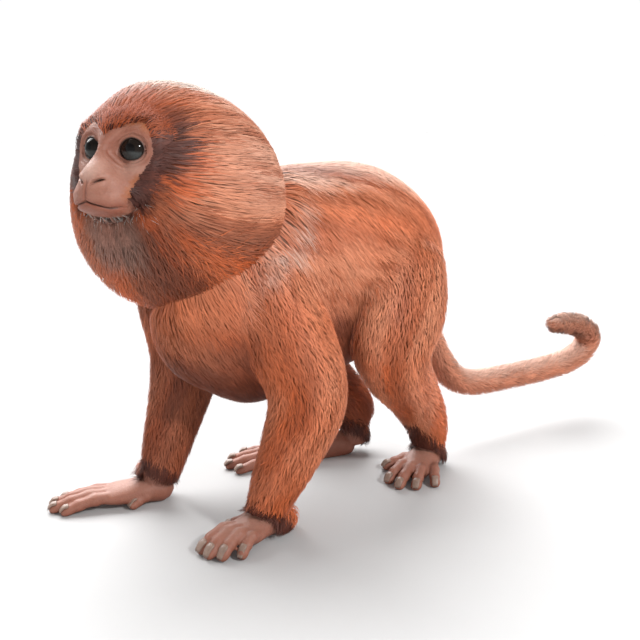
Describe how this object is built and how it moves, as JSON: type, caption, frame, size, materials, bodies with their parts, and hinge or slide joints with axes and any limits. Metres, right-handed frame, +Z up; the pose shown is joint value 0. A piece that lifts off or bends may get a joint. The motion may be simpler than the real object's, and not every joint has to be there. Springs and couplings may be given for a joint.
{
  "type": "golden lion tamarin",
  "caption": "Life-size standing golden lion tamarin, a small orange monkey with a round mane, a bare face and a long curled tail, on all fours with its head turned.",
  "frame": {"origin": "on the floor, under the middle of the model's box", "axes": "+Z up; -Y is the way the body faces; +X is the animal's left"},
  "size_m": [0.1238, 0.3678, 0.2208],
  "materials": {
    "coat": "silky golden-orange hair",
    "mane_coat": "long red-orange hair, dark at the face",
    "tail_coat": "short pale peach-orange fur",
    "bare_skin": "bare pink-grey skin",
    "nail": "horn",
    "dark_eye": "wet, very dark brown"
  },
  "bodies": {
    "root": {"head": "bare_skin", "eye_left": "dark_eye", "eye_right": "dark_eye", "mane": "mane_coat", "neck": "coat", "trunk_front": "coat", "trunk_rear": "coat", "upper_arm_left": "coat", "forearm_left": "coat", "hand_left": "bare_skin", "upper_arm_right": "coat", "forearm_right": "coat", "hand_right": "bare_skin", "thigh_left": "coat", "shin_left": "coat", "foot_left": "bare_skin", "thigh_right": "coat", "shin_right": "coat", "foot_right": "bare_skin", "tail_1": "tail_coat", "tail_2": "tail_coat", "tail_3": "tail_coat", "tail_4": "tail_coat"}
  },
  "joints": []
}
